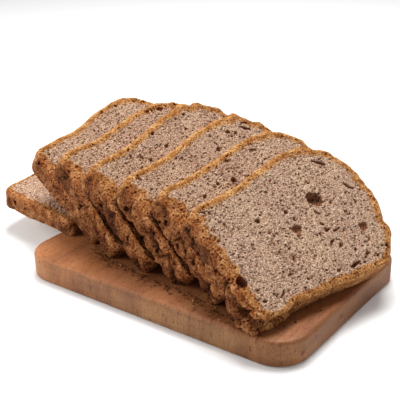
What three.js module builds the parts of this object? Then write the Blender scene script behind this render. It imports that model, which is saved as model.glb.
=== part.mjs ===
// A tin loaf cut into seven slices on a small beech board.
//
// Frame: millimetres, +Z up. The origin is the middle of the board's underside, +X runs along the
// board's long side towards the front slice and +Y runs across it. Six slices stand on their flat
// bottoms and lean back towards -X, each on the one behind it. The seventh lies almost flat at the
// back, with most of its length past the end of the board.

import * as THREE from 'three';

// ---------------------------------------------------------------------------------------------
// Driving dimensions
// ---------------------------------------------------------------------------------------------

const boardLength = 200;
const boardWidth = 140;
const boardThickness = 16;
const boardCornerRadius = 20;
const boardEdgeRadius = 2.5;

const sliceWidth = 132; // from the rough side to the widest point of the rounded side
const sliceHeight = 91; // from the flat bottom to the crown
const sliceThickness = 14.6;
const flatSliceThickness = 11.8; // the slice that lies at the back was cut thinner
const crustEdgeRadius = 1.2; // the crust's cut edges are a little worn

const restGap = 0.3; // clearance where one piece rests on another

// Where each slice's bottom edge meets the board, how far that edge is turned from straight across
// the board and how steeply the slice rises from it. Then how its outline differs from the loaf's:
// in width, in height, at the crown and on the round side. lean is how far the top of the rough
// side stands in from its foot, in millimetres.
const slices = [
  {
    name: 'slice_1', foot: [88.6, -11.6], turn: 15.9, rise: 34.0,
    wide: 0.95, tall: 1.02, crown: 0.985, round: 1.045, lean: 0,
  },
  {
    name: 'slice_2', foot: [55.7, 1.3], turn: 14.2, rise: 36.9,
    wide: 0.96, tall: 1.01, crown: 0.97, round: 1.02, lean: 0,
  },
  {
    name: 'slice_3', foot: [21.7, 13.4], turn: 7.5, rise: 38.4,
    wide: 1.05, tall: 1.0, crown: 0.97, round: 1.02, lean: 0,
  },
  {
    name: 'slice_4', foot: [-9.1, 14.1], turn: 6.6, rise: 41.2,
    wide: 1.04, tall: 1.0, crown: 1.0, round: 1.0, lean: 0,
  },
  {
    name: 'slice_5', foot: [-34.9, 13.2], turn: 9.4, rise: 39.4,
    wide: 0.97, tall: 1.01, crown: 0.965, round: 1.0, lean: 0,
  },
  {
    name: 'slice_6', foot: [-64.8, 22.5], turn: 2.5, rise: 36.3,
    wide: 0.965, tall: 0.99, crown: 0.98, round: 1.0, lean: 0,
  },
  {
    name: 'slice_7', foot: [-85.5, 24.0], turn: 1.0, rise: 1.3,
    wide: 0.99, tall: 1.05, crown: 0.98, round: 1.0, lean: 10,
  },
];

// ---------------------------------------------------------------------------------------------
// Materials
// ---------------------------------------------------------------------------------------------

const breadColour = 0x9b7f6a;
const beechColour = 0xb07a52;

function breadMaterial() {
  return new THREE.MeshStandardMaterial({ color: breadColour, roughness: 0.95, metalness: 0 });
}

function beechMaterial() {
  return new THREE.MeshStandardMaterial({ color: beechColour, roughness: 0.6, metalness: 0 });
}

// ---------------------------------------------------------------------------------------------
// Board: a plank with round corners and eased edges
// ---------------------------------------------------------------------------------------------

function boardOutline() {
  const endX = boardLength / 2;
  const sideY = boardWidth / 2;
  const radius = boardCornerRadius;
  const outline = new THREE.Shape();
  outline.moveTo(radius - endX, -sideY);
  outline.lineTo(endX - radius, -sideY);
  outline.absarc(endX - radius, radius - sideY, radius, -Math.PI / 2, 0);
  outline.lineTo(endX, sideY - radius);
  outline.absarc(endX - radius, sideY - radius, radius, 0, Math.PI / 2);
  outline.lineTo(radius - endX, sideY);
  outline.absarc(radius - endX, sideY - radius, radius, Math.PI / 2, Math.PI);
  outline.lineTo(-endX, radius - sideY);
  outline.absarc(radius - endX, radius - sideY, radius, Math.PI, 1.5 * Math.PI);
  return outline;
}

function makeBoard() {
  const geometry = new THREE.ExtrudeGeometry(boardOutline(), {
    depth: boardThickness - 2 * boardEdgeRadius,
    curveSegments: 10,
    bevelThickness: boardEdgeRadius,
    bevelSize: boardEdgeRadius,
    bevelOffset: -boardEdgeRadius,
    bevelSegments: 3,
  });
  geometry.translate(0, 0, boardEdgeRadius);
  const board = new THREE.Mesh(geometry, beechMaterial());
  board.name = 'board';
  return board;
}

// ---------------------------------------------------------------------------------------------
// Slices: one outline for the whole loaf, seen square on, with the flat bottom on the x axis. The
// left side is the rough one, with three soft lobes. The right side is round, and the top climbs
// slowly from the left corner to the crown.
// ---------------------------------------------------------------------------------------------

function loafOutline({ wide, tall, crown, round, lean }) {
  const x = (across, up) => {
    const roundedOut = across > 0 ? across * round : across;
    const leaningIn = lean * up * Math.max(0, -2 * across);
    return roundedOut * sliceWidth * wide + leaningIn;
  };
  const y = (up) => up * sliceHeight * tall;
  const at = (across, up) => [x(across, up), y(up)];
  const outline = new THREE.Shape();
  outline.moveTo(...at(-0.43, 0));
  outline.lineTo(...at(0.3, 0));
  outline.bezierCurveTo(...at(0.44, 0), ...at(0.53, 0.33), ...at(0.53, 0.58));
  outline.bezierCurveTo(...at(0.53, 0.85), ...at(0.4, crown), ...at(0.24, crown));
  outline.bezierCurveTo(...at(0.1, crown), ...at(-0.02, 0.91), ...at(-0.15, 0.86));
  outline.bezierCurveTo(...at(-0.22, 0.83), ...at(-0.33, 0.832), ...at(-0.4, 0.812));
  outline.quadraticCurveTo(...at(-0.474, 0.79), ...at(-0.479, 0.69));
  outline.splineThru([
    new THREE.Vector2(...at(-0.468, 0.56)),
    new THREE.Vector2(...at(-0.477, 0.47)),
    new THREE.Vector2(...at(-0.465, 0.36)),
    new THREE.Vector2(...at(-0.478, 0.22)),
    new THREE.Vector2(...at(-0.475, 0.09)),
  ]);
  outline.quadraticCurveTo(...at(-0.47, 0), ...at(-0.43, 0));
  return outline;
}

function makeSlice(slice, thickness) {
  const geometry = new THREE.ExtrudeGeometry(loafOutline(slice), {
    depth: thickness - 2 * crustEdgeRadius,
    curveSegments: 9,
    bevelThickness: crustEdgeRadius,
    bevelSize: crustEdgeRadius,
    bevelOffset: -crustEdgeRadius,
    bevelSegments: 1,
  });
  geometry.translate(0, 0, crustEdgeRadius);
  const piece = new THREE.Mesh(geometry, breadMaterial());
  piece.name = slice.name;

  // The outline's x axis becomes the bottom edge, its y axis the way up the leaning slice.
  const turnAngle = THREE.MathUtils.degToRad(90 - slice.turn);
  const riseAngle = THREE.MathUtils.degToRad(slice.rise);
  piece.rotation.set(riseAngle, 0, turnAngle, 'ZXY');

  // Let the slice down until it just clears the board.
  piece.position.set(slice.foot[0], slice.foot[1], 0);
  piece.updateMatrixWorld();
  const lowest = new THREE.Box3().setFromObject(piece, true).min.z;
  piece.position.z = boardThickness + restGap - lowest;
  return piece;
}

// ---------------------------------------------------------------------------------------------
// The loaf on its board
// ---------------------------------------------------------------------------------------------

const loafOnBoard = new THREE.Group();
loafOnBoard.add(makeBoard());
for (const slice of slices) {
  const thickness = slice.name === 'slice_7' ? flatSliceThickness : sliceThickness;
  loafOnBoard.add(makeSlice(slice, thickness));
}

export default loafOnBoard;
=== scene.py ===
import math

import bpy
import numpy as np
from mathutils import Matrix, Vector
from mathutils.kdtree import KDTree


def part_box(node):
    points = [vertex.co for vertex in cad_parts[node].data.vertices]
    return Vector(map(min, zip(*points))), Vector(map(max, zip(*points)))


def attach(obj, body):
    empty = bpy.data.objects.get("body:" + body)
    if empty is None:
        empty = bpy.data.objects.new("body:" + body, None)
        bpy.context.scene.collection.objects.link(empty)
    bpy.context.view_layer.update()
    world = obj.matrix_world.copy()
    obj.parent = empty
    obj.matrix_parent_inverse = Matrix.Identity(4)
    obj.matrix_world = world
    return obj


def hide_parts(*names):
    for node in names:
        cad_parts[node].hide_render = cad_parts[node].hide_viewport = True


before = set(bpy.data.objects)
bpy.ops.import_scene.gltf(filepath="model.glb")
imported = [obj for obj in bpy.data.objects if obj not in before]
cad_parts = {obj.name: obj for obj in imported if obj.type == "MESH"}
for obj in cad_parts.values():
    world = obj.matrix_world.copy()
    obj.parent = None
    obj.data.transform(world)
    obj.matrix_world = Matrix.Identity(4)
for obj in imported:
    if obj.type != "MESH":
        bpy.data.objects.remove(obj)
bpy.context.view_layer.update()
MM = 0.001


# ---- The board -------------------------------------------------------------------------------
# A small breakfast board sawn from one piece of beech, its grain running across it. The corners
# are cut round, the edges are eased all round with a router, and it is oiled, not varnished.

BOARD_CORNER = 20 * MM
BOARD_TOP_EASE = 2.6 * MM
BOARD_FOOT_EASE = 1.6 * MM
BOARD_CORNER_STEPS = 20
BOARD_EASE_STEPS = 6

# Painted light: the board's tone fades from end to end, and changes where its sides turn into its top.
FALLOFF_ALONG = (-100 * MM, 100 * MM)
SIDE_TO_TOP_SPAN = (13.5 * MM, 15.8 * MM)


def linear(red, green, blue):
    """A colour as a paint chart gives it, 0 to 255, as the linear colour a shader wants."""
    channels = []
    for value in (red, green, blue):
        part = value / 255
        channels.append(part / 12.92 if part <= 0.04045 else ((part + 0.055) / 1.055) ** 2.4)
    return (*channels, 1.0)


def put_in_scene(name, data):
    made = bpy.data.objects.new(name, data)
    bpy.context.scene.collection.objects.link(made)
    return made


def rounded_rectangle(half_x, half_y, radius, steps):
    """Points of a rectangle with round corners, anticlockwise from the -Y side."""
    points = []
    corners = ((1, -1, -90), (1, 1, 0), (-1, 1, 90), (-1, -1, 180))
    for side_x, side_y, start in corners:
        for step in range(steps + 1):
            angle = math.radians(start + 90 * step / steps)
            x = side_x * (half_x - radius) + radius * math.cos(angle)
            y = side_y * (half_y - radius) + radius * math.sin(angle)
            points.append((x, y))
    return points


def board_mesh(low, high):
    """Rings of points from the foot's eased edge up to the top's, joined by faces."""
    half_x = (high.x - low.x) / 2
    half_y = (high.y - low.y) / 2
    centre = (low + high) / 2
    foot_levels = []
    top_levels = []
    for step in range(BOARD_EASE_STEPS + 1):
        angle = math.pi / 2 * step / BOARD_EASE_STEPS
        less_sine = 1 - math.sin(angle)
        less_cosine = 1 - math.cos(angle)
        foot_levels.append((BOARD_FOOT_EASE * less_sine, low.z + BOARD_FOOT_EASE * less_cosine))
        top_levels.append((BOARD_TOP_EASE * less_cosine, high.z - BOARD_TOP_EASE * less_sine))
    levels = foot_levels + top_levels
    vertices = []
    for inset, z in levels:
        ring = rounded_rectangle(
            half_x - inset, half_y - inset, BOARD_CORNER - inset, BOARD_CORNER_STEPS
        )
        vertices += [(centre.x + x, centre.y + y, z) for x, y in ring]
    count = 4 * (BOARD_CORNER_STEPS + 1)
    faces = [tuple(reversed(range(count)))]
    for level in range(len(levels) - 1):
        start = level * count
        for i in range(count):
            j = (i + 1) % count
            faces.append((start + i, start + j, start + count + j, start + count + i))
    last = (len(levels) - 1) * count
    faces.append(tuple(range(last, last + count)))
    mesh = bpy.data.meshes.new("board_oiled")
    mesh.from_pydata(vertices, [], faces)
    for polygon in mesh.polygons:
        polygon.use_smooth = len(polygon.vertices) == 4
    return mesh


def node(tree, kind, **settings):
    """One shader node, with its own settings and the values of its named inputs. The nodes are
    set out in rows of ten, in the order they are made."""
    made = tree.nodes.new(kind)
    row, column = divmod(len(tree.nodes), 10)
    made.location = (column * 250, -row * 400)
    for key, value in settings.items():
        if key.startswith("in_"):
            made.inputs[key[3:].replace("_", " ")].default_value = value
        else:
            setattr(made, key, value)
    return made


def colour_ramp(tree, source, stops):
    """A colour ramp fed by source; stops are (position, colour)."""
    ramp = node(tree, "ShaderNodeValToRGB")
    elements = ramp.color_ramp.elements
    while len(elements) < len(stops):
        elements.new(0.5)
    for element, (position, colour) in zip(elements, stops):
        element.position = position
        element.color = colour
    tree.links.new(source, ramp.inputs["Fac"])
    return ramp.outputs["Color"]


def grey(level):
    return (level, level, level, 1.0)


def blend_colour(tree, mode, amount, first, second):
    """Mixes two colours; amount is a number or an output."""
    mix = node(tree, "ShaderNodeMix", data_type="RGBA", blend_type=mode)
    for socket, value in ((mix.inputs[0], amount), (mix.inputs[6], first), (mix.inputs[7], second)):
        if isinstance(value, bpy.types.NodeSocket):
            tree.links.new(value, socket)
        else:
            socket.default_value = value
    return mix.outputs[2]


def darken(tree, amount, colour, tone):
    """Multiplies a colour by a tone, as far as amount says."""
    return blend_colour(tree, "MULTIPLY", amount, colour, tone)


def stretched_noise(tree, place, scale, detail=4.0, roughness=0.55):
    """Noise on coordinates scaled by three numbers, for grain that runs one way."""
    mapping = node(tree, "ShaderNodeMapping", in_Scale=scale)
    tree.links.new(place, mapping.inputs["Vector"])
    noise = node(tree, "ShaderNodeTexNoise", in_Scale=1.0, in_Detail=detail, in_Roughness=roughness)
    tree.links.new(mapping.outputs["Vector"], noise.inputs["Vector"])
    return noise.outputs["Fac"]


def oiled_beech():
    material = bpy.data.materials.new("oiled_beech")
    material.use_nodes = True
    tree = material.node_tree
    shader = tree.nodes["Principled BSDF"]
    place = node(tree, "ShaderNodeTexCoord").outputs["Object"]
    broad = stretched_noise(tree, place, (26, 7, 40), 3.0)
    base = colour_ramp(tree, broad, [
        (0.32, linear(149, 91, 50)),
        (0.52, linear(175, 112, 66)),
        (0.72, linear(194, 134, 86)),
    ])
    streaks = stretched_noise(tree, place, (420, 22, 70), 4.0, 0.6)
    streak_tone = colour_ramp(tree, streaks, [(0.32, grey(0.72)), (0.52, grey(1.0))])
    wood = darken(tree, 0.6, base, streak_tone)
    bands = stretched_noise(tree, place, (110, 9, 25), 3.0, 0.6)
    band_tone = colour_ramp(tree, bands, [(0.34, linear(206, 196, 190)), (0.6, grey(1.0))])
    wood = darken(tree, 0.6, wood, band_tone)
    layers = stretched_noise(tree, place, (30, 6, 520), 3.0, 0.5)
    layer_tone = colour_ramp(tree, layers, [(0.40, grey(0.82)), (0.56, grey(1.0))])
    wood = darken(tree, 0.55, wood, layer_tone)
    flecks = stretched_noise(tree, place, (640, 110, 190), 2.0, 0.5)
    fleck_tone = colour_ramp(tree, flecks, [(0.26, linear(176, 100, 56)), (0.38, grey(1.0))])
    wood = darken(tree, 0.8, wood, fleck_tone)
    # painted light: the sides are lighter at the left end and the top a little, and the two toned apart
    axes = node(tree, "ShaderNodeSeparateXYZ")
    tree.links.new(place, axes.inputs["Vector"])
    lengthwise = node(tree, "ShaderNodeMapRange", in_From_Min=FALLOFF_ALONG[0], in_From_Max=FALLOFF_ALONG[1])
    tree.links.new(axes.outputs["X"], lengthwise.inputs["Value"])
    upward = node(tree, "ShaderNodeMapRange", in_From_Min=SIDE_TO_TOP_SPAN[0], in_From_Max=SIDE_TO_TOP_SPAN[1])
    tree.links.new(axes.outputs["Z"], upward.inputs["Value"])
    side_falloff_tone = colour_ramp(tree, lengthwise.outputs["Result"], [
        (0.05, linear(250, 255, 255)),
        (0.35, linear(224, 238, 242)),
        (0.75, linear(210, 223, 222)),
        (0.98, linear(228, 236, 232)),
    ])
    top_falloff_stops = [(0.12, grey(1.0)), (0.45, linear(240, 239, 240))]
    top_falloff_tone = colour_ramp(tree, lengthwise.outputs["Result"], top_falloff_stops)
    painted_falloff_tone = blend_colour(tree, "MIX", upward.outputs["Result"], side_falloff_tone, top_falloff_tone)
    wood = darken(tree, 1.0, wood, painted_falloff_tone)
    mottle = stretched_noise(tree, place, (900, 700, 900), 3.0, 0.6)
    mottle_tone = colour_ramp(tree, mottle, [(0.36, linear(214, 196, 180)), (0.56, grey(1.0))])
    wood = darken(tree, 0.8, wood, mottle_tone)
    tree.links.new(wood, shader.inputs["Base Color"])
    sheen = stretched_noise(tree, place, (60, 30, 60), 3.0)
    rough = colour_ramp(tree, sheen, [(0.3, grey(0.50)), (0.7, grey(0.66))])
    tree.links.new(rough, shader.inputs["Roughness"])
    bump = node(tree, "ShaderNodeBump", in_Strength=0.25, in_Distance=0.0004)
    tree.links.new(streak_tone, bump.inputs["Height"])
    tree.links.new(bump.outputs["Normal"], shader.inputs["Normal"])
    shader.inputs["Specular IOR Level"].default_value = 0.35
    return material


board_low, board_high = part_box("board")
board = put_in_scene("board_oiled", board_mesh(board_low, board_high))
board.data.materials.append(oiled_beech())
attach(board, "root")
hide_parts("board")


# ---- The slices ------------------------------------------------------------------------------
# Seven slices of one grey-brown tin loaf: an open crumb full of small holes, inside a thin golden
# crust. The tin kept three sides smooth; the fourth split while it rose, and baked rough, lobed
# and dark. Each slice leans back towards the next, and the last lies flat past the board's end.

LOAF_WIDTH = 132
LOAF_HEIGHT = 91

# Mesh squares along the bottom or top of a slice, and up each side of it.
ACROSS = 274
UP = 188

# For each slice, in degrees and mm: how far it is turned from straight across the board, how
# steeply it rises, how its outline differs from the loaf's, how thick it was cut, how rough its
# split side is (split), how far that side's crust rolls over the cut face (lip), how wide a baked
# band it leaves on the face (band), how far it reaches back over the gap behind the slice at the
# foot and 70 mm up (flare), and a number of its own for its holes (seed). LEANING is what most
# of the slices have in common.
LEANING = dict(round_out=1.0, lean=0, thick=14.6, split=1.0, lip=1.6, band=7.0, flare=(0.0, 0.0))
SLICES = {
    "slice_1": dict(LEANING, turn=15.9, rise=34.0, wide=0.95, tall=1.02, crown=0.985,
                    round_out=1.045, lip=2.2, band=2.2, flare=(4.4, 1.2), seed=11),
    "slice_2": dict(LEANING, turn=14.2, rise=36.9, wide=0.96, tall=1.01, crown=0.97,
                    round_out=1.02, flare=(2.3, 0.8), seed=12),
    "slice_3": dict(LEANING, turn=7.5, rise=38.4, wide=1.05, tall=1.0, crown=0.97,
                    round_out=1.02, flare=(4.0, 1.0), seed=13),
    "slice_4": dict(LEANING, turn=6.6, rise=41.2, wide=1.04, tall=1.0, crown=1.0,
                    flare=(2.9, 3.4), seed=14),
    "slice_5": dict(LEANING, turn=9.4, rise=39.4, wide=0.97, tall=1.01, crown=0.965,
                    split=0.8, band=6.0, flare=(0.0, 1.8), seed=15),
    "slice_6": dict(LEANING, turn=2.5, rise=36.3, wide=0.965, tall=0.99, crown=0.98,
                    split=0.25, band=2.2, seed=16),
    "slice_7": dict(LEANING, turn=1.0, rise=1.3, wide=0.99, tall=1.05, crown=0.98,
                    lean=10, thick=11.8, split=0.3, band=0.8, seed=17),
}

# Larger holes in a slice's cut face: across, up, half length, half width, tilt in degrees, depth.
HOLES = {
    "slice_1": [
        (26.3, 54.9, 5.9, 4.9, -32, 5.2), (-54.2, 23.2, 3.7, 3.5, 20, 6.5),
        (0.7, 40.6, 3.4, 3.2, 0, 2.7), (46, 27, 3.6, 2.6, 30, 2.5),
        (22, 7.1, 4.6, 1.1, 8, 3), (51.4, 9.7, 1.2, 2, 0, 3), (35.1, 10.4, 2.2, 0.9, 0, 2.2),
        (31.9, 8.6, 1.5, 1, 0, 2), (-20, 53.8, 1.6, 1.9, 0, 2.2), (1.4, 53.1, 1.3, 1.4, 0, 2),
        (3.5, 46.4, 1.1, 1.3, 0, 1.8), (35.2, 48.8, 1.7, 0.9, 40, 1.8), (47.5, 77.5, 5.5, 1.4, -35, 2.4),
        (56, 55.5, 4.6, 1.3, -50, 2), (-35.1, 8, 3.6, 0.8, 35, 2), (19.8, 33.1, 2.4, 0.9, 10, 2.2),
        (17.2, 25, 3.2, 0.8, 35, 2.4), (13.1, 32, 1.7, 0.9, 60, 1.8), (9, 8, 1.8, 0.9, 0, 1.8),
        (22.1, 45.7, 2.4, 0.8, -25, 2), (19.1, 37.8, 2.2, 0.9, -50, 2), (25.6, 31.1, 2.2, 0.9, 0, 1.8),
        (21.4, 21.3, 2, 1.3, 20, 2.2), (-13.9, 24.2, 2.6, 0.9, 60, 2), (5.8, 75.9, 1.6, 0.9, 30, 1.6),
        (-16, 56.5, 1, 0.9, 0, 1.6), (41, 40, 1.6, 0.8, 20, 1.6), (30, 66, 1.5, 0.7, -30, 1.4),
    ],
    "slice_2": [
        (-5.4, 64.2, 2.2, 2, 0, 2.6), (-31.8, 59.8, 1.8, 1.1, 20, 1.8), (22, 80, 3.2, 1, -20, 1.6),
    ],
    "slice_3": [
        (36, 77.7, 2.2, 1.4, 0, 2.4), (41.8, 75, 1.9, 1.2, 0, 2), (19, 68.5, 2.2, 1.5, 20, 2.4),
        (52, 76, 4.8, 1.2, -35, 2.4), (55, 80, 3, 0.9, -35, 1.8),
    ],
    "slice_4": [
        (-2.6, 78.9, 1.7, 1.3, 0, 2.2), (1.6, 67.4, 1.8, 1.2, 0, 2.2), (32.4, 85.2, 1.6, 1.1, 0, 1.8),
        (23.2, 83.7, 1.4, 1, 0, 1.8),
    ],
    "slice_5": [
        (35.5, 84.7, 3, 1.7, 0, 2.2), (21.6, 87.2, 1.5, 1.1, 0, 1.8), (24.2, 85.6, 1.3, 1.2, 0, 1.8),
        (28.6, 85.7, 1.3, 1, 0, 1.6),
    ],
    "slice_6": [(28.1, 84.4, 1.4, 1.1, 0, 1.8), (-51.6, 66.3, 1.6, 1.2, 0, 1.8)],
    "slice_7": [],
}

# Cracks where two folds of dough meet: distance past the lower corner, depth behind the cut face,
# reach to each side, half length, drop.
CRACKS = {
    "slice_1": [(3, 6.4, 3, 26, 6.4)],
    "slice_2": [(-16, 7.4, 3, 20, 3.6)],
    "slice_3": [(-30, 8, 2.6, 11, 2.6)],
    "slice_5": [(-22, 8.5, 2.6, 14, 2.6)],
}

# Lumps and notches in the crust: place on the outline, depth behind the cut face, reach along the
# outline, reach in depth, height.
LUMPS = {
    "slice_1": [
        (67, 15, 5, 5, 8, 3.2), (70, 45, 5, 7, 9, 1.2), (57, 84, 5, 6, 9, 1),
        (-45, 0, 2.6, 10, 3.6, 1.6), (-29, 0, 3, 3.5, 6, -2.4), (-48, 1, 10.8, 15, 3.2, 4.6),
        (68, 30, 5, 5, 9, 0.9), (71, 62, 5, 5, 9, 1.1), (66, 74, 6, 4, 9, -1),
    ],
    "slice_2": [(-58, 12, 3, 12, 4.5, 1.5), (-58, 14, 12, 10, 4, 1.2)],
    "slice_3": [(50, 84, 6, 8, 9, 2.2)],
    "slice_4": [(34, 91, 6, 6, 9, 1)],
    "slice_5": [(-50, 70, 6, 12, 9, 0.8)],
    "slice_6": [(-36, 76, 6, 15, 9, 1.6), (-57, 71, 6, 9, 9, 1.2)],
}

# Burst bubbles in the rough side: height up the slice, depth behind the cut face, radius, depth.
CRUST_HOLES = {
    "slice_1": [(60, 8.5, 1.8, 2.4), (37, 7, 1.1, 2)],
    "slice_2": [(56, 9, 2, 3), (41, 11, 1.6, 3), (27, 9, 1.3, 2.4)],
    "slice_3": [(58, 10, 1.9, 2.8), (26, 11, 1.5, 2.8)],
    "slice_4": [(50, 11, 1.8, 2.8), (32, 12, 1.6, 2.8)],
    "slice_5": [(40, 10, 1.4, 2.2), (61, 8, 1.2, 2)],
    "slice_6": [(64, 2.5, 1.2, 2)],
    "slice_7": [(60, 5, 1.3, 2.2), (48, 6, 1.2, 2)],
}


def bezier(start, pull, push, end, steps):
    """Points along one curve, without its last point."""
    t = np.linspace(0, 1, steps, endpoint=False)[:, None]
    start, pull, push, end = (np.array(p, float) for p in (start, pull, push, end))
    return (1 - t) ** 3 * start + 3 * (1 - t) ** 2 * t * pull + 3 * (1 - t) * t**2 * push + t**3 * end


def loaf_sides(shape):
    """The loaf's outline in mm as four runs: flat bottom, round side, top and rough side.
    They meet in the middle of the outline's four corners."""
    crown = shape["crown"]
    runs = [
        bezier((-0.462, 0.012), (-0.452, 0), (-0.445, 0), (-0.43, 0), 12),
        bezier((-0.43, 0), (-0.2, 0), (0.05, 0), (0.30, 0), 60),
        bezier((0.30, 0), (0.44, 0), (0.53, 0.33), (0.53, 0.58), 80),
        bezier((0.53, 0.58), (0.53, 0.85), (0.40, crown), (0.24, crown), 60),
        bezier((0.24, crown), (0.10, crown), (-0.02, 0.91), (-0.15, 0.86), 50),
        bezier((-0.15, 0.86), (-0.22, 0.83), (-0.33, 0.832), (-0.40, 0.812), 40),
        bezier((-0.40, 0.812), (-0.449, 0.797), (-0.476, 0.757), (-0.479, 0.69), 20),
        bezier((-0.479, 0.69), (-0.468, 0.58), (-0.478, 0.45), (-0.468, 0.34), 36),
        bezier((-0.468, 0.34), (-0.462, 0.25), (-0.480, 0.15), (-0.475, 0.06), 26),
        bezier((-0.475, 0.06), (-0.473, 0.035), (-0.470, 0.022), (-0.462, 0.012), 8),
    ]
    closed = np.vstack(runs)
    across, up = closed[:, 0], closed[:, 1]
    rounded = np.where(across > 0, across * shape["round_out"], across)
    leaning = shape["lean"] * up * np.maximum(0, -2 * across)
    x = rounded * LOAF_WIDTH * shape["wide"] + leaning
    y = up * LOAF_HEIGHT * shape["tall"]
    closed = np.stack([x, y], 1)
    # a corner lies part of the way along the third, the fourth and the seventh run
    ends = np.cumsum([len(run) for run in runs])
    breaks = [0, ends[1] + 22, ends[2] + 34, ends[5] + 10, len(closed)]
    return [np.vstack([closed, closed[:1]])[a:b + 1] for a, b in zip(breaks, breaks[1:])]


def even_points(run, count):
    """count + 1 points at even distances along a run of points."""
    lengths = np.r_[0, np.cumsum(np.linalg.norm(np.diff(run, axis=0), axis=1))]
    wanted = np.linspace(0, lengths[-1], count + 1)
    return np.stack([np.interp(wanted, lengths, run[:, k]) for k in (0, 1)], 1)


def soft_field(points, wavelength, rng, waves=28):
    """A smooth random height at each point, about -1 to 1, with swells one wavelength apart."""
    total = np.zeros(len(points))
    for _ in range(waves):
        direction = rng.normal(size=points.shape[1])
        direction *= 2 * math.pi / (wavelength * np.linalg.norm(direction) * rng.uniform(0.75, 1.3))
        total += np.cos(points @ direction + rng.uniform(0, 2 * math.pi))
    return total / math.sqrt(waves / 2) / 1.6


def ring_distance(points, ring):
    """Distance from each point to the nearest ring point, and which one that is."""
    best = np.empty(len(points))
    nearest = np.empty(len(points), int)
    for start in range(0, len(points), 8000):
        part = points[start:start + 8000]
        gaps = (part[:, None, 0] - ring[None, :, 0]) ** 2 + (part[:, None, 1] - ring[None, :, 1]) ** 2
        nearest[start:start + 8000] = gaps.argmin(1)
        best[start:start + 8000] = np.sqrt(gaps.min(1))
    return best, nearest


# Side of one cell of a sheet of pits, in mm.
CELL = 0.25


def pitted_sheet(size, pits):
    """Depths on a flat sheet, one value per cell, with a rounded pit for each of pits:
    x, y, half length, half width, angle, depth."""
    columns = int(size[0] / CELL) + 2
    rows = int(size[1] / CELL) + 2
    sheet = np.zeros((rows, columns))
    for x, y, length, width, angle, depth in pits:
        reach = max(length, width) + CELL
        left = max(int((x - reach) / CELL), 0)
        right = min(int((x + reach) / CELL) + 2, columns)
        low = max(int((y - reach) / CELL), 0)
        high = min(int((y + reach) / CELL) + 2, rows)
        if right <= left or high <= low:
            continue
        dx = (np.arange(left, right) * CELL - x)[None, :]
        dy = (np.arange(low, high) * CELL - y)[:, None]
        along = (dx * math.cos(angle) + dy * math.sin(angle)) / length
        aside = (dy * math.cos(angle) - dx * math.sin(angle)) / width
        inside = np.clip(1 - (along**2 + aside**2), 0, 1)
        patch = sheet[low:high, left:right]
        np.maximum(patch, depth * np.sqrt(inside), out=patch)
    return sheet


def read_sheet(sheet, points):
    """The sheet's depth at each point, between cells."""
    x = np.clip(points[:, 0] / CELL, 0, sheet.shape[1] - 1.001)
    y = np.clip(points[:, 1] / CELL, 0, sheet.shape[0] - 1.001)
    column = x.astype(int)
    row = y.astype(int)
    fx = x - column
    fy = y - row
    lower = sheet[row, column] * (1 - fx) + sheet[row, column + 1] * fx
    upper = sheet[row + 1, column] * (1 - fx) + sheet[row + 1, column + 1] * fx
    return lower * (1 - fy) + upper * fy


# Small holes on one square millimetre of a cut face, and how many of them are larger ones.
CRUMB_HOLES = 0.42
LARGER_SHARE = 0.015


def crumb_pits(rng, size, coarse):
    """Small holes over a cut face; coarse gives a size factor for each place."""
    count = int(size[0] * size[1] * CRUMB_HOLES)
    x = rng.uniform(0, size[0], count)
    y = rng.uniform(0, size[1], count)
    radius = 0.30 + 0.26 * rng.random(count) ** 2 + 0.40 * (rng.random(count) < LARGER_SHARE)
    radius *= coarse(x, y)
    stretch = rng.uniform(1.0, 2.1, count)
    angle = rng.normal(0.5, 0.6, count)
    depth = radius * rng.uniform(1.1, 2.2, count)
    return list(zip(x, y, radius * stretch, radius, angle, depth))


def smooth_step(value, low, high):
    """0 up to low, 1 from high on, and a smooth rise between them."""
    part = np.clip((value - low) / (high - low), 0, 1)
    return part * part * (3 - 2 * part)


def coons_patch(bottom, right, top, left):
    """A grid of points filling four runs: bottom and top have the same count, right and left too.
    bottom and top run left to right, left and right run upwards."""
    a = np.linspace(0, 1, len(bottom))[None, :, None]
    b = np.linspace(0, 1, len(left))[:, None, None]
    ruled = (1 - b) * bottom[None] + b * top[None] + (1 - a) * left[:, None] + a * right[:, None]
    corners = (
        (1 - a) * (1 - b) * bottom[0] + a * (1 - b) * bottom[-1]
        + (1 - a) * b * top[0] + a * b * top[-1]
    )
    return ruled - corners


# The lobes of the rough side, in mm of outline to each, and the radius of a lobe's round top.
LOBE_SPACING = 7
LOBE_RADIUS = 12


def rough_crust(distance, depth, rng, length, thick):
    """Height of the rough side over the loaf's plain outline, in mm, and how deep in a crease each
    place is: lobes of dough, each round on top, that meet in creases."""
    points = np.stack([distance, depth * 1.1], 1)
    warp = np.stack([soft_field(points, 17, rng), soft_field(points, 17, rng)], 1) * 2.0
    count = int(length / LOBE_SPACING)
    centres = np.stack([rng.uniform(-6, length + 6, count), rng.uniform(-4, thick + 4, count)], 1)
    gaps = np.linalg.norm((points + warp)[:, None] - centres[None], axis=2)
    gaps.sort(axis=1)
    crease = np.exp(-((gaps[:, 1] - gaps[:, 0]) / 1.0) ** 2)
    crease *= smooth_step(soft_field(points, 20, rng), -0.5, 0.5)
    lobe = np.sqrt(np.clip(1 - (gaps[:, 0] / LOBE_RADIUS) ** 2, 0, 1))
    bumps = 0.30 * soft_field(points, 7, rng) + 0.14 * soft_field(points, 2.8, rng)
    below_edge = 0.3 + 0.7 * smooth_step(depth, 0.3, 4.0)
    return below_edge * (2.8 * lobe - 1.9 + bumps - 2.2 * crease), crease * below_edge


# The lower corner next to the rough side, where the crust rolls over the cut face less.
ROLLED_CORNER = (-44, 0)
ROLLED_REACH = 9


def near_rolled_corner(points):
    """1 at that corner of the slice, fading to 0 about two centimetres away."""
    apart = (points[:, 0] - ROLLED_CORNER[0]) ** 2 + (points[:, 1] - ROLLED_CORNER[1]) ** 2
    return np.exp(-apart / ROLLED_REACH**2)


# The wavy edge of the cut face has random numbers of its own, seeded this far from the slice's.
EDGE_SEED = 100

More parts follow.
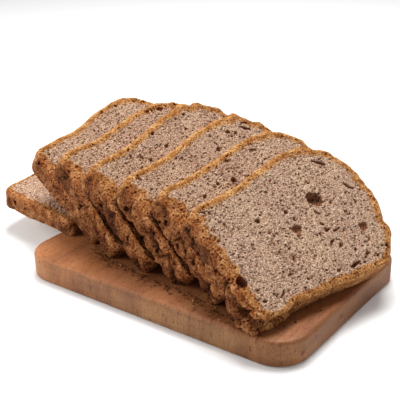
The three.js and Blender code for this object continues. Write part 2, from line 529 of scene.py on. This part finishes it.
# Rows of the crust: over the front edge, along the side, and over the back edge.
FRONT_EDGE_ANGLES = (0, 18, 36, 54, 72, 90)
SIDE_ROWS = 26
BACK_EDGE_ANGLES = (90, 60, 30, 0)

# Pits on one square millimetre of crust, before most are left out where it is smooth.
CRUST_PITS = 0.11


def cut_slice(name, shape):
    """The crust of one slice in its own frame: x across, y up the slice, z out of the cut face."""
    rng = np.random.default_rng(shape["seed"])
    thick = shape["thick"]
    bottom, right, top, left = loaf_sides(shape)
    ring = np.vstack([
        even_points(bottom, ACROSS)[:-1], even_points(right, UP)[:-1],
        even_points(top, ACROSS)[:-1], even_points(left, UP)[:-1],
    ])
    count = len(ring)
    ahead = np.roll(ring, -1, 0) - np.roll(ring, 1, 0)
    outward = np.stack([ahead[:, 1], -ahead[:, 0]], 1)
    outward /= np.linalg.norm(outward, axis=1)[:, None]
    for _ in range(12):
        outward = (np.roll(outward, 1, 0) + outward + np.roll(outward, -1, 0)) / 3
    outward /= np.linalg.norm(outward, axis=1)[:, None]
    along = np.r_[0, np.cumsum(np.linalg.norm(np.diff(ring, axis=0), axis=1))]
    girth = along[-1] + np.linalg.norm(ring[0] - ring[-1])

    # 1 on the rough side and round its two corners, 0 where the tin kept the crust smooth
    rough_first = 2 * ACROSS + UP
    rough_start = along[rough_first]
    rough = smooth_step(along, rough_start - 4, rough_start + 4)
    rough = np.maximum(rough, smooth_step(-along, -12, -3))
    domed = smooth_step(along, along[ACROSS - 10], along[ACROSS + 50])
    domed *= 1 - smooth_step(along, along[ACROSS + UP + 30], along[ACROSS + UP + 90])
    underside = 1 - smooth_step(along, along[ACROSS - 40], along[ACROSS])
    foot_roll = underside * (1 - rough)
    high_up = smooth_step(ring[:, 1], 42, 62)
    lip = shape["lip"] + (2.4 - shape["lip"]) * high_up
    roll_in = 2.3 + 1.3 * domed + (lip - 2.3) * rough - 0.6 * foot_roll
    roll_in *= 1 - 0.5 * near_rolled_corner(ring)
    edge_rng = np.random.default_rng(shape["seed"] + EDGE_SEED)
    edge_wave = 0.9 * shape["split"] * rough * soft_field(ring, 6, edge_rng)
    roll_in = np.maximum(roll_in + edge_wave, 0.5)
    roll_back = 2.2 + 1.2 * domed + 0.4 * rough * (shape["lip"] - 1.0)
    tail_in = 1.0 - 0.3 * rough
    flare = np.interp(ring[:, 1], (0, 70), shape["flare"])
    flare *= 0.62 + 0.42 * soft_field(ring, 9, rng)
    deep = thick + rough * np.clip(np.minimum(flare, 0.55 * ring[:, 1]), 0, None)

    # rows of the crust from the front edge to the back edge: how far in, how far back
    rows = []
    for angle in np.radians(FRONT_EDGE_ANGLES):
        rows.append((roll_in * (1 - math.sin(angle)), roll_back * (1 - math.cos(angle))))
    for step in range(1, SIDE_ROWS):
        share = step / SIDE_ROWS
        rows.append((np.zeros(count), roll_back + (deep - tail_in - roll_back) * share))
    for angle in np.radians(BACK_EDGE_ANGLES):
        rows.append((tail_in * (1 - math.sin(angle)), deep - tail_in * (1 - math.cos(angle))))
    row_in = np.array([r[0] for r in rows])
    row_back = np.array([r[1] for r in rows])

    distance = np.tile(along, (len(rows), 1)).ravel()
    depth = row_back.ravel()
    # the crust wound on a circle, so that its random heights meet where the outline closes
    circle = np.stack([
        np.cos(distance / girth * 2 * math.pi) * girth / 2 / math.pi,
        np.sin(distance / girth * 2 * math.pi) * girth / 2 / math.pi,
        depth,
    ], 1)
    rough_all = np.tile(rough, len(rows))
    domed_all = np.tile(domed, len(rows))
    height = 0.45 * soft_field(circle, 26, rng) + 0.2 * soft_field(circle, 9, rng)
    height += domed_all * (2.7 + 1.1 * soft_field(circle, 15, rng) + 0.5 * soft_field(circle, 7, rng))
    height += 0.09 * soft_field(circle, 2.0, rng, 40)
    from_corner = (distance - rough_start + 12) % girth
    lobes, creases = rough_crust(from_corner, depth, rng, girth - rough_start + 26, thick)
    height += rough_all * shape["split"] * lobes
    # hollows between lobes and the cracks below are marked to be painted in shade, like the creases
    hollows = smooth_step(-lobes, -0.4, 1.4) * smooth_step(depth, 1.0, 4.0)
    creases = np.maximum(creases, 0.7 * hollows) * rough_all * shape["split"]
    for at, back, reach, run, drop in CRACKS.get(name, []):
        gap = (distance - at + girth / 2) % girth - girth / 2
        line = back + 0.9 * soft_field(circle, 16, rng)
        cut = np.clip(1 - np.abs(depth - line) / reach, 0, 1) ** 2 * np.exp(-(gap / run) ** 4)
        height -= drop * cut
        creases = np.maximum(creases, smooth_step(cut, 0.3, 0.9))

    spot = ring[np.tile(np.arange(count), len(rows))]
    for x, y, back, reach, depth_reach, rise in LUMPS.get(name, []):
        apart = ((spot[:, 0] - x) ** 2 + (spot[:, 1] - y) ** 2) / reach**2
        height += rise * np.exp(-apart - ((depth - back) / depth_reach) ** 2)

    # the crust is scorched just below the upper corner of the rough side
    corner_up = ring[rough_first, 1] - 6
    apart = (spot[:, 0] - ring[rough_first, 0]) ** 2 / 36 + (spot[:, 1] - corner_up) ** 2 / 30
    scorch = np.exp(-apart - ((depth - 5.5) / 3.4) ** 2)
    scorch *= 0.4 + 0.4 * soft_field(circle, 5, rng)
    creases = np.maximum(creases, np.clip(scorch, 0, 1))

    # pits in the crust, many on the rough side and few on the smooth ones
    pits = []
    for _ in range(int(girth * thick * CRUST_PITS)):
        at = rng.uniform(0, girth)
        back = rng.uniform(0, thick + 3)
        chance = 0.12 + 0.75 * np.interp(at, along, rough) + 0.2 * (back < 3.5)
        if rng.random() > chance:
            continue
        radius = rng.uniform(0.32, 0.5) + 0.4 * (rng.random() < 0.04)
        pits.append((at, back, radius * rng.uniform(1, 1.6), radius,
                     rng.uniform(0, math.pi), radius * rng.uniform(1.2, 2.2)))
    for up, back, radius, drop in CRUST_HOLES.get(name, []):
        at = along[rough_first:][np.abs(ring[rough_first:, 1] - up).argmin()]
        pits.append((at, back, radius, radius, 0, drop))
    sheet = pitted_sheet((girth + 1, thick + 6), pits)
    pit_depth = read_sheet(sheet, np.stack([distance, depth], 1))
    edge_fade = np.repeat(smooth_step(np.arange(len(rows)), 0, 1.5), count)
    height -= pit_depth * edge_fade
    height = height.reshape(len(rows), count)

    rim = np.empty((len(rows), count, 3))
    rim[:, :, :2] = ring[None] + outward[None] * (height - row_in)[:, :, None]
    rim[:, :, 2] = thick - row_back
    bake = np.clip(row_back / 7, 0, 1)
    brown = np.maximum(rough, (0.6 * foot_roll + 0.2 * domed) * smooth_step(row_back, 0.5, 4.0))
    return dict(
        rim=rim, rough=rough, domed=domed, bake=bake, brown=brown, foot=foot_roll,
        rng=rng, thick=thick, band=shape["band"], flare=deep - thick,
        hollow=pit_depth.reshape(len(rows), count), creases=creases.reshape(len(rows), count),
    )


# A sheet of crumb that covers any cut face: its lower left corner and its size, in mm.
SHEET_CORNER = np.array([-72.0, -6.0])
SHEET_SIZE = (150.0, 106.0)


def cut_face(edge, slice_data, coarse_step, holes):
    """A cut face inside the edge loop: grid points with their height, how crusty, how hollow and
    how brown each is, and how far it lies in the gap between two slices."""
    rng = slice_data["rng"]
    across = ACROSS // coarse_step
    up = UP // coarse_step
    bottom = edge[:across + 1]
    right = edge[across:across + up + 1]
    top = edge[across + up:2 * across + up + 1][::-1]
    left = np.vstack([edge[2 * across + up:], edge[:1]])[::-1]
    grid = coons_patch(bottom[:, :2], right[:, :2], top[:, :2], left[:, :2])
    flat = grid.reshape(-1, 2)
    gap, nearest = ring_distance(flat, edge[:, :2])
    starts = rng.uniform(0, 2 * math.pi, 4)

    def coarse(x, y):
        swirl = np.sin(x / 13 + starts[0]) * np.sin(y / 11 + starts[1])
        return 1.0 + 0.16 * (swirl + 0.6 * np.sin(x / 7 + y / 9 + starts[2]))

    pits = crumb_pits(rng, SHEET_SIZE, coarse)
    for x, y, length, width, tilt, depth in holes:
        spot = (x - SHEET_CORNER[0], y - SHEET_CORNER[1])
        pits.append((*spot, length, width, math.radians(tilt), depth))
    torn = np.stack([soft_field(flat, 5, rng), soft_field(flat, 5, rng)], 1) * 0.32
    torn += np.stack([soft_field(flat, 2.4, rng), soft_field(flat, 2.4, rng)], 1) * 0.07
    pit_depth = read_sheet(pitted_sheet(SHEET_SIZE, pits), flat - SHEET_CORNER + torn)
    rough = slice_data["rough"][::coarse_step][nearest]
    domed = slice_data["domed"][::coarse_step][nearest]
    foot = slice_data["foot"][::coarse_step][nearest]
    below_corner = 1 - smooth_step(flat[:, 1], 56, 76)
    low_down = 1 - smooth_step(flat[:, 1], 36, 60)
    band = slice_data["band"] * below_corner
    crust_width = 2.4 + (1.0 + band) * rough + 1.3 * domed
    crust_width *= 1 - 0.75 * near_rolled_corner(flat)
    wander = 1 + 0.22 * soft_field(flat, 7, rng) + 0.20 * soft_field(flat, 2.2, rng)
    crust = 1 - smooth_step(gap, crust_width * wander * 0.75, crust_width * wander + 0.5)
    fade = smooth_step(gap, 0.0, 0.9)
    height = 0.30 * soft_field(flat, 26, rng) + 0.10 * soft_field(flat, 5, rng)
    height += 0.13 * soft_field(flat, 1.7, rng, 40)
    height = fade * (height - pit_depth * (1 - 0.35 * crust))
    # where the face lies in the gap between two slices; this is later painted darker, as shade
    between = rough * smooth_step(slice_data["band"] * low_down, 2.5, 5)
    brown = np.maximum(0.4 * rough + 0.25 * foot + 0.15 * domed, between) * crust
    return grid, height.reshape(grid.shape[:2]), crust, pit_depth, brown, between


# Where the parts of a slice lie on its flat texture map, 0 to 1 each way: the front face, the back
# face, and the crust in four strips, one to each side.
FRONT_U = (0.01, 0.99)
FRONT_V = (0.31, 0.99)
BACK_U = (0.01, 0.41)
BACK_V = (0.01, 0.28)
STRIP_LEFT = 0.43
STRIP_LONG = 0.55
STRIP_TOP = 0.28
STRIP_HIGH = 0.064
STRIP_GAP = 0.004


def grid_border(start, up, across):
    """Indices around a grid, in the crust's order: bottom, right, top, left; and its indices."""
    index = start + np.arange((up + 1) * (across + 1)).reshape(up + 1, across + 1)
    around = (index[0, :-1], index[:-1, -1], index[-1, :0:-1], index[:0:-1, 0])
    return np.concatenate(around), index


def grid_quads(grid):
    """The four corners of each square of a grid, anticlockwise."""
    return np.stack([grid[:-1, :-1], grid[:-1, 1:], grid[1:, 1:], grid[1:, :-1]], 2)


def grid_uv(u_range, v_range, across, up):
    u, v = np.meshgrid(np.linspace(*u_range, across + 1), np.linspace(*v_range, up + 1))
    return grid_quads(np.stack([u, v], -1)).reshape(-1, 4, 2)


def slice_mesh(name, settings):
    data = cut_slice(name, settings)
    rim = data["rim"]
    rows, count = rim.shape[:2]
    thick = data["thick"]
    vertices = []
    attributes = {"crust": [], "hollow": [], "rough": [], "crease": [], "bake": []}

    def add(points, crust, hollow, rough, crease, bake):
        start = sum(len(v) for v in vertices)
        vertices.append(points)
        for key, value in zip(attributes, (crust, hollow, rough, crease, bake)):
            attributes[key].append(np.broadcast_to(value, len(points)).astype(float))
        return start

    quads = []
    uvs = []

    # front face, with its border shared with the crust's first row
    grid, height, crust, hollow, face_brown, between = cut_face(rim[0], data, 1, HOLES[name])
    up, across = grid.shape[0] - 1, grid.shape[1] - 1
    front = np.concatenate([grid, (thick + height)[:, :, None]], 2).reshape(-1, 3)
    # the crease value paints shade into the band in the gap between slices
    front_start = add(front, crust, hollow, face_brown, 0.5 * between, 0.7 * between)
    border, index = grid_border(front_start, up, across)
    quads.append(grid_quads(index).reshape(-1, 4))
    uvs.append(grid_uv(FRONT_U, FRONT_V, across, up))

    # crust rows between the two borders
    brown = data["brown"]
    inner = []
    for row in range(1, rows - 1):
        creased, baked = data["creases"][row], data["bake"][row]
        inner.append(add(rim[row], 1.0, data["hollow"][row], brown[row], creased, baked))
    rings = [border] + [np.arange(count) + start for start in inner]

    # back face on every second point of the last row
    back_edge = rim[-1][::2]
    grid, height, crust, hollow, face_brown, between = cut_face(back_edge, data, 2, [])
    back_up, back_across = grid.shape[0] - 1, grid.shape[1] - 1
    edge_gap, nearest = ring_distance(grid.reshape(-1, 2), back_edge[:, :2])
    flared = data["flare"][::2][nearest] * (1 - smooth_step(edge_gap, 0, 6))
    back = np.concatenate([grid.reshape(-1, 2), -(height.ravel() + flared)[:, None]], 1)
    back_start = add(back, crust, hollow, face_brown, 0.5 * between, 0.7 * between)
    back_border, index = grid_border(back_start, back_up, back_across)
    seen_from_behind = [0, 3, 2, 1]
    quads.append(grid_quads(index).reshape(-1, 4)[:, seen_from_behind])
    uvs.append(grid_uv(BACK_U, BACK_V, back_across, back_up)[:, seen_from_behind])

    # crust quads, unrolled side by side into four strips
    sides = np.array([0, ACROSS, ACROSS + UP, 2 * ACROSS + UP, count])
    step = np.arange(count)
    strip = np.searchsorted(sides, step, side="right") - 1
    strip_steps = sides[strip + 1] - sides[strip]
    x0 = STRIP_LEFT + STRIP_LONG * (step - sides[strip]) / strip_steps
    x1 = STRIP_LEFT + STRIP_LONG * (step + 1 - sides[strip]) / strip_steps
    base_y = STRIP_TOP - strip * (STRIP_HIGH + STRIP_GAP) - STRIP_HIGH
    for row in range(len(rings) - 1):
        a, b = rings[row], rings[row + 1]
        quads.append(np.stack([a, b, np.roll(b, -1), np.roll(a, -1)], 1))
        y0 = base_y + STRIP_HIGH * (1 - row / (rows - 1))
        y1 = base_y + STRIP_HIGH * (1 - (row + 1) / (rows - 1))
        corners = ((x0, y0), (x0, y1), (x1, y1), (x1, y0))
        uvs.append(np.stack([np.stack(corner, 1) for corner in corners], 1))

    # the last row of the crust has two points to each one of the back face, so its faces have five
    fine = rings[-1]
    five = np.stack([
        fine[0::2], back_border, np.roll(back_border, -1), np.roll(fine, -2)[0::2], fine[1::2],
    ], 1)
    y0 = (base_y + STRIP_HIGH * (1 - (rows - 2) / (rows - 1)))[0::2]
    y1 = base_y[0::2]
    left, middle, right = x0[0::2], x1[0::2], x1[1::2]
    corners = ((left, y0), (left, y1), (right, y1), (right, y0), (middle, y0))
    five_uv = np.stack([np.stack(corner, 1) for corner in corners], 1)

    points = np.vstack(vertices) * MM
    quad_all = np.vstack(quads)
    loops = np.concatenate([quad_all.ravel(), five.ravel()])
    starts = np.concatenate([
        np.arange(len(quad_all)) * 4, len(quad_all) * 4 + np.arange(len(five)) * 5,
    ])
    mesh = bpy.data.meshes.new(name + "_bread")
    mesh.vertices.add(len(points))
    mesh.vertices.foreach_set("co", points.astype(np.float32).ravel())
    mesh.loops.add(len(loops))
    mesh.loops.foreach_set("vertex_index", loops.astype(np.int32))
    mesh.polygons.add(len(starts))
    mesh.polygons.foreach_set("loop_start", starts.astype(np.int32))
    mesh.polygons.foreach_set("use_smooth", np.ones(len(starts), bool))
    mesh.update(calc_edges=True)
    layer = mesh.uv_layers.new(name="OFBake")
    flat_uv = np.concatenate([np.vstack(uvs).ravel(), five_uv.ravel()])
    layer.data.foreach_set("uv", flat_uv.astype(np.float32))
    for key, parts in attributes.items():
        layer = mesh.attributes.new(key, "FLOAT", "POINT")
        layer.data.foreach_set("value", np.concatenate(parts).astype(np.float32))
    return mesh


def stand_slice(name, settings, mesh):
    """Puts a slice where its solid is: turned and leaned the same way, and centred on its box."""
    turn = math.radians(90 - settings["turn"])
    rise = math.radians(settings["rise"])
    pose = Matrix.Rotation(turn, 4, "Z") @ Matrix.Rotation(rise, 4, "X")
    outline = np.vstack(loaf_sides(settings))
    thick = settings["thick"]
    plain = np.array([(x, y, z) for x, y in outline for z in (0, thick)]) * MM
    turned = plain @ np.array(pose.to_3x3()).T
    low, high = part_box(name)
    shift = (low + high) / 2 - Vector((turned.min(0) + turned.max(0)) / 2)
    piece = put_in_scene(name + "_bread", mesh)
    piece.matrix_world = Matrix.Translation(shift) @ pose
    return piece


# The crust is soft enough to lie flat where it meets the board; it stays this far clear of it.
RESTING_GAP = 0.03 * MM


def world_points(piece, what):
    """The piece's vertex positions ("co") or outward directions ("normal") in the world."""
    values = np.empty(len(piece.data.vertices) * 3, np.float32)
    piece.data.vertices.foreach_get(what, values)
    pose = np.array(piece.matrix_world)
    turned = values.reshape(-1, 3) @ pose[:3, :3].T
    return turned + pose[:3, 3] if what == "co" else turned


def flatten_on_board(piece):
    """Lifts whatever would sink below the board's top."""
    points = world_points(piece, "co")
    points[:, 2] = np.maximum(points[:, 2], board_high.z + RESTING_GAP)
    pose = np.array(piece.matrix_world)
    own = (points - pose[:3, 3]) @ pose[:3, :3]
    piece.data.vertices.foreach_set("co", own.astype(np.float32).ravel())
    piece.data.update()


def scattered_pores(tree, place, scale, stops):
    """Ragged pores scattered at random, one to each 1/scale metres; the ramp runs outwards from
    the middle of a pore."""
    mapping = node(tree, "ShaderNodeMapping", in_Scale=scale)
    tree.links.new(place, mapping.inputs["Vector"])
    ragged = node(tree, "ShaderNodeTexNoise", in_Scale=2.2, in_Detail=2.0)
    tree.links.new(mapping.outputs["Vector"], ragged.inputs["Vector"])
    moved = node(tree, "ShaderNodeVectorMath", operation="MULTIPLY_ADD")
    tree.links.new(ragged.outputs["Color"], moved.inputs[0])
    moved.inputs[1].default_value = (0.7, 0.7, 0.7)
    tree.links.new(mapping.outputs["Vector"], moved.inputs[2])
    cells = node(tree, "ShaderNodeTexVoronoi", in_Scale=1.0)
    tree.links.new(moved.outputs["Vector"], cells.inputs["Vector"])
    return colour_ramp(tree, cells.outputs["Distance"], stops)


def baked_bread():
    """Crumb inside, crust outside, in one material, told apart by what the slice carries."""
    material = bpy.data.materials.new("crumb_and_crust")
    material.use_nodes = True
    tree = material.node_tree
    links = tree.links
    shader = tree.nodes["Principled BSDF"]
    place = node(tree, "ShaderNodeTexCoord").outputs["Object"]

    def carried(name):
        return node(tree, "ShaderNodeAttribute", attribute_name=name).outputs["Fac"]

    crust = carried("crust")
    hollow = carried("hollow")
    rough = carried("rough")
    crease = carried("crease")
    bake = carried("bake")

    # crumb: mauve-grey walls round small holes, whose dark middles are painted shade
    walls = stretched_noise(tree, place, (1050, 1500, 1250), 3.0, 0.6)
    crumb = colour_ramp(tree, walls, [
        (0.30, linear(92, 64, 47)),
        (0.42, linear(158, 128, 107)),
        (0.55, linear(202, 174, 152)),
        (0.67, linear(246, 228, 210)),
    ])
    # painted shade: the middles of the larger and smaller pores are darkened as holes in shadow
    large_pore_shade_stops = [(0.17, linear(88, 58, 40)), (0.28, grey(1.0))]
    large = scattered_pores(tree, place, (230, 380, 300), large_pore_shade_stops)
    crumb = darken(tree, 0.95, crumb, large)
    small_pore_shade_stops = [(0.17, linear(128, 96, 76)), (0.30, grey(1.0))]
    small = scattered_pores(tree, place, (470, 700, 560), small_pore_shade_stops)
    crumb = darken(tree, 0.95, crumb, small)
    broad = stretched_noise(tree, place, (45, 45, 45), 3.0)
    tint = colour_ramp(tree, broad, [(0.3, linear(240, 228, 224)), (0.7, linear(255, 248, 236))])
    crumb = darken(tree, 1.0, crumb, tint)
    # painted shade: the crumb darkens the deeper it lies in a hole
    hole_shade_tone = colour_ramp(tree, hollow, [
        (0.20, grey(1.0)),
        (0.80, linear(200, 164, 138)),
        (1.0, linear(176, 134, 104)),
    ])
    crumb = darken(tree, 0.9, crumb, hole_shade_tone)

    # crust: golden where the tin held it, orange-brown to dark brown down the rough side
    toast = stretched_noise(tree, place, (150, 150, 150), 5.0, 0.62)
    golden = colour_ramp(tree, toast, [
        (0.30, linear(156, 104, 52)),
        (0.46, linear(198, 147, 88)),
        (0.64, linear(226, 184, 126)),
    ])
    orange = colour_ramp(tree, toast, [
        (0.30, linear(130, 72, 30)),
        (0.46, linear(168, 108, 60)),
        (0.64, linear(202, 150, 102)),
    ])
    browned = colour_ramp(tree, toast, [
        (0.28, linear(90, 46, 20)),
        (0.44, linear(128, 81, 46)),
        (0.60, linear(166, 116, 73)),
        (0.74, linear(198, 152, 106)),
    ])
    pinned_share = colour_ramp(tree, rough, [(0.0, grey(0.5)), (0.5, grey(1.0))])
    darker = blend_colour(tree, "MIX", bake, orange, browned)
    shell = blend_colour(tree, "MIX", rough, golden, darker)
    specks = stretched_noise(tree, place, (820, 820, 820), 4.0, 0.68)
    speck_tone = colour_ramp(tree, specks, [
        (0.38, linear(122, 66, 28)),
        (0.49, linear(218, 190, 160)),
        (0.62, grey(1.0)),
    ])
    shell = darken(tree, 0.85, shell, speck_tone)
    # painted shade: the middle of each pinhole is darkened, with an orange ring round it
    pinholes = scattered_pores(tree, place, (430, 430, 430), [
        (0.16, linear(84, 34, 12)),
        (0.25, linear(206, 148, 96)),
        (0.36, grey(1.0)),
    ])
    pinned = darken(tree, 0.95, shell, pinholes)
    shell = blend_colour(tree, "MIX", pinned_share, shell, pinned)
    # painted shade: the crust darkens the deeper it lies in a pit
    pit_shade_tone = colour_ramp(tree, hollow, [(0.08, grey(1.0)), (0.8, linear(132, 70, 36))])
    shell = darken(tree, 0.9, shell, pit_shade_tone)
    # painted shade in creases, cracks, hollows and gaps between slices, with the real scorch mark too
    crease_shade_and_scorch_tone = colour_ramp(tree, crease, [(0.15, grey(1.0)), (1.0, linear(116, 66, 34))])
    shell = darken(tree, 0.9, shell, crease_shade_and_scorch_tone)

    colour = blend_colour(tree, "MIX", crust, crumb, shell)
    links.new(colour, shader.inputs["Base Color"])
    shader.inputs["Roughness"].default_value = 0.8
    shader.inputs["Specular IOR Level"].default_value = 0.12
    bump = node(tree, "ShaderNodeBump", in_Strength=0.8, in_Distance=0.0005)
    links.new(darken(tree, 0.8, walls, pinholes), bump.inputs["Height"])
    links.new(bump.outputs["Normal"], shader.inputs["Normal"])
    return material


# Crust up to this height above the board is kept in mind, so that no crumb lies inside it.
LOW_CRUST = 4 * MM

# The middle of a slice's thickness at its rough side, as a share of its width from its middle.
ROUGH_FOOT = -0.47

bread = baked_bread()
feet = []
low_crust = []
for slice_name, slice_settings in SLICES.items():
    loaf_slice = stand_slice(slice_name, slice_settings, slice_mesh(slice_name, slice_settings))
    loaf_slice.data.materials.append(bread)
    flatten_on_board(loaf_slice)
    crust_points = world_points(loaf_slice, "co")
    near_board = crust_points[:, 2] < board_high.z + LOW_CRUST
    crust_outward = world_points(loaf_slice, "normal")
    low_crust.extend(zip(crust_points[near_board], crust_outward[near_board]))
    foot_x = ROUGH_FOOT * LOAF_WIDTH * slice_settings["wide"]
    rough_foot = Vector((foot_x, 0, slice_settings["thick"] / 2)) * MM
    feet.append(loaf_slice.matrix_world @ rough_foot)
    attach(loaf_slice, "root")
    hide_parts(slice_name)


# ---- Loose crumbs ----------------------------------------------------------------------------
# Bits of crust and crumb that fell while the loaf was sliced. Most lie on the board below the
# rough side, along the feet of the slices, and some are scattered round the front slice's foot.

# How many fell, before those are left out that would lie in a slice or at the board's very edge;
# their least and greatest size in mm, from the middle out; and the share of them that are dark.
CRUMBS = 280
CRUMB_SIZE = (0.35, 0.95)
DARK_SHARE = 0.8

# Each fifth crumb is scattered evenly over this patch, in mm along and across the board.
SCATTER_EACH = 5
SCATTER_ALONG = (62, 96)
SCATTER_ACROSS = (-55, 30)

# How far the others rolled from the line of feet, along and across the board, in mm.
ROLLED_ALONG = 2
ROLLED_OUT = 4
BOARD_MARGIN = 3 * MM

# Crust further off than the first can't be in a crumb's way; the second is the room it is left.
CRUST_NEARBY = 3 * MM
CRUMB_ROOM = 0.1 * MM

# One crumb: a bottom corner, four corners round it, and a top corner.
CRUMB_FACES = (
    (0, 2, 1), (0, 3, 2), (0, 4, 3), (0, 1, 4), (5, 1, 2), (5, 2, 3), (5, 3, 4), (5, 4, 1),
)


def crumb_lump(place, size, rng):
    """Corners of one crumb: six points round its middle, none of them quite even."""
    spin = rng.uniform(0, 2 * math.pi)
    turns = [spin + k * math.pi / 2 for k in range(4)]
    around = [(math.cos(turn), math.sin(turn), 0.0) for turn in turns]
    corners = np.array([(0, 0, -0.7), *around, (0, 0, 0.7)]) * rng.uniform(0.6, 1.3, (6, 3))
    corners *= size
    corners[:, 2] -= corners[:, 2].min()
    return corners + place


crust_tree = KDTree(len(low_crust))
for number, (point, _) in enumerate(low_crust):
    crust_tree.insert(point, number)
crust_tree.balance()


def clear_of_bread(corners):
    """False where a corner of a crumb would be inside a slice, or touching it."""
    for corner in corners:
        nearest, number, gap = crust_tree.find(corner)
        outside = (Vector(corner) - nearest).dot(Vector(low_crust[number][1]))
        if gap < CRUST_NEARBY and outside < CRUMB_ROOM:
            return False
    return True


crumb_rng = np.random.default_rng(41)
crumb_points = []
crumb_faces = []
crumb_dark = []
for number in range(CRUMBS):
    size = crumb_rng.uniform(*CRUMB_SIZE) * MM
    if number % SCATTER_EACH == 0:
        x = crumb_rng.uniform(*SCATTER_ALONG) * MM
        y = crumb_rng.uniform(*SCATTER_ACROSS) * MM
    else:
        # between the feet of two neighbours, leaving out the slice that lies flat
        behind = crumb_rng.integers(0, len(feet) - 2)
        spot = feet[behind].lerp(feet[behind + 1], crumb_rng.random())
        x = spot.x + crumb_rng.normal(0, ROLLED_ALONG) * MM
        y = spot.y - abs(crumb_rng.normal(0, ROLLED_OUT)) * MM
    if y < board_low.y + BOARD_MARGIN:
        continue
    corners = crumb_lump((x, y, board_high.z + RESTING_GAP), size, crumb_rng)
    dark = float(crumb_rng.random() < DARK_SHARE)
    if not clear_of_bread(corners):
        continue
    first = len(crumb_points)
    crumb_points.extend(corners)
    crumb_faces.extend(tuple(first + i for i in face) for face in CRUMB_FACES)
    crumb_dark.extend([dark] * len(corners))
crumb_mesh = bpy.data.meshes.new("loose_crumbs")
crumb_mesh.from_pydata(crumb_points, [], crumb_faces)
whole_crust = [1.0] * len(crumb_points)
for key, values in (("crust", whole_crust), ("rough", crumb_dark), ("bake", crumb_dark)):
    layer = crumb_mesh.attributes.new(key, "FLOAT", "POINT")
    layer.data.foreach_set("value", values)
crumb_mesh.materials.append(bread)
crumbs = put_in_scene("loose_crumbs", crumb_mesh)
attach(crumbs, "root")


# ---- The studio ------------------------------------------------------------------------------
# A plain white table in a pale room, under a broad soft light from above and behind the loaf and
# a small weak one, low on the left, that opens the shadows of the rough side.

TABLE_HALF = 3
TABLE_BELOW = 0.2 * MM
table_mesh = bpy.data.meshes.new("table_top")
table_corners = [(x * TABLE_HALF, y * TABLE_HALF, 0) for x, y in ((-1, -1), (1, -1), (1, 1), (-1, 1))]
table_mesh.from_pydata(table_corners, [], [(0, 1, 2, 3)])
table = put_in_scene("table_top", table_mesh)
table.location.z = board_low.z - TABLE_BELOW
paper = bpy.data.materials.new("white_paper")
paper.use_nodes = True
paper_inputs = paper.node_tree.nodes["Principled BSDF"].inputs
paper_inputs["Base Color"].default_value = grey(0.92)
paper_inputs["Roughness"].default_value = 0.9
paper_inputs["Emission Color"].default_value = grey(1.0)
paper_inputs["Emission Strength"].default_value = 0.08
table_mesh.materials.append(paper)

world = bpy.data.worlds.new("pale_room")
bpy.context.scene.world = world
world.use_nodes = True
world_inputs = world.node_tree.nodes["Background"].inputs
world_inputs["Color"].default_value = grey(1.0)
world_inputs["Strength"].default_value = 0.34
bpy.context.scene.view_settings.view_transform = "Standard"


def soft_light(name, place, aim, size, power):
    lamp = bpy.data.lights.new(name, "AREA")
    lamp.shape = "SQUARE"
    lamp.size = size
    lamp.energy = power
    stand = put_in_scene(name, lamp)
    stand.location = place
    stand.rotation_euler = (Vector(aim) - Vector(place)).to_track_quat("-Z", "Y").to_euler()


soft_light("key_light", (-0.12, 0.3, 1.1), (0, 0, 0.05), 0.55, 15.6)
soft_light("fill_light", (-0.42, -0.36, 0.27), (-0.06, -0.03, 0.03), 0.3, 1.8)

# The camera looks down at the board's front corner from a little above.
CAMERA_TURN = 36.22
CAMERA_HEIGHT = 23.63
CAMERA_ROLL = -0.71
CAMERA_PLACE = (0.2888, -0.4055, 0.2693)
camera_data = bpy.data.cameras.new("camera")
camera_data.sensor_width = 36.0
camera_data.lens = 78.43
camera = put_in_scene("camera", camera_data)
camera.matrix_world = (
    Matrix.Translation(CAMERA_PLACE)
    @ Matrix.Rotation(math.radians(CAMERA_TURN), 4, "Z")
    @ Matrix.Rotation(math.radians(90 - CAMERA_HEIGHT), 4, "X")
    @ Matrix.Rotation(math.radians(CAMERA_ROLL), 4, "Z")
)
bpy.context.scene.camera = camera
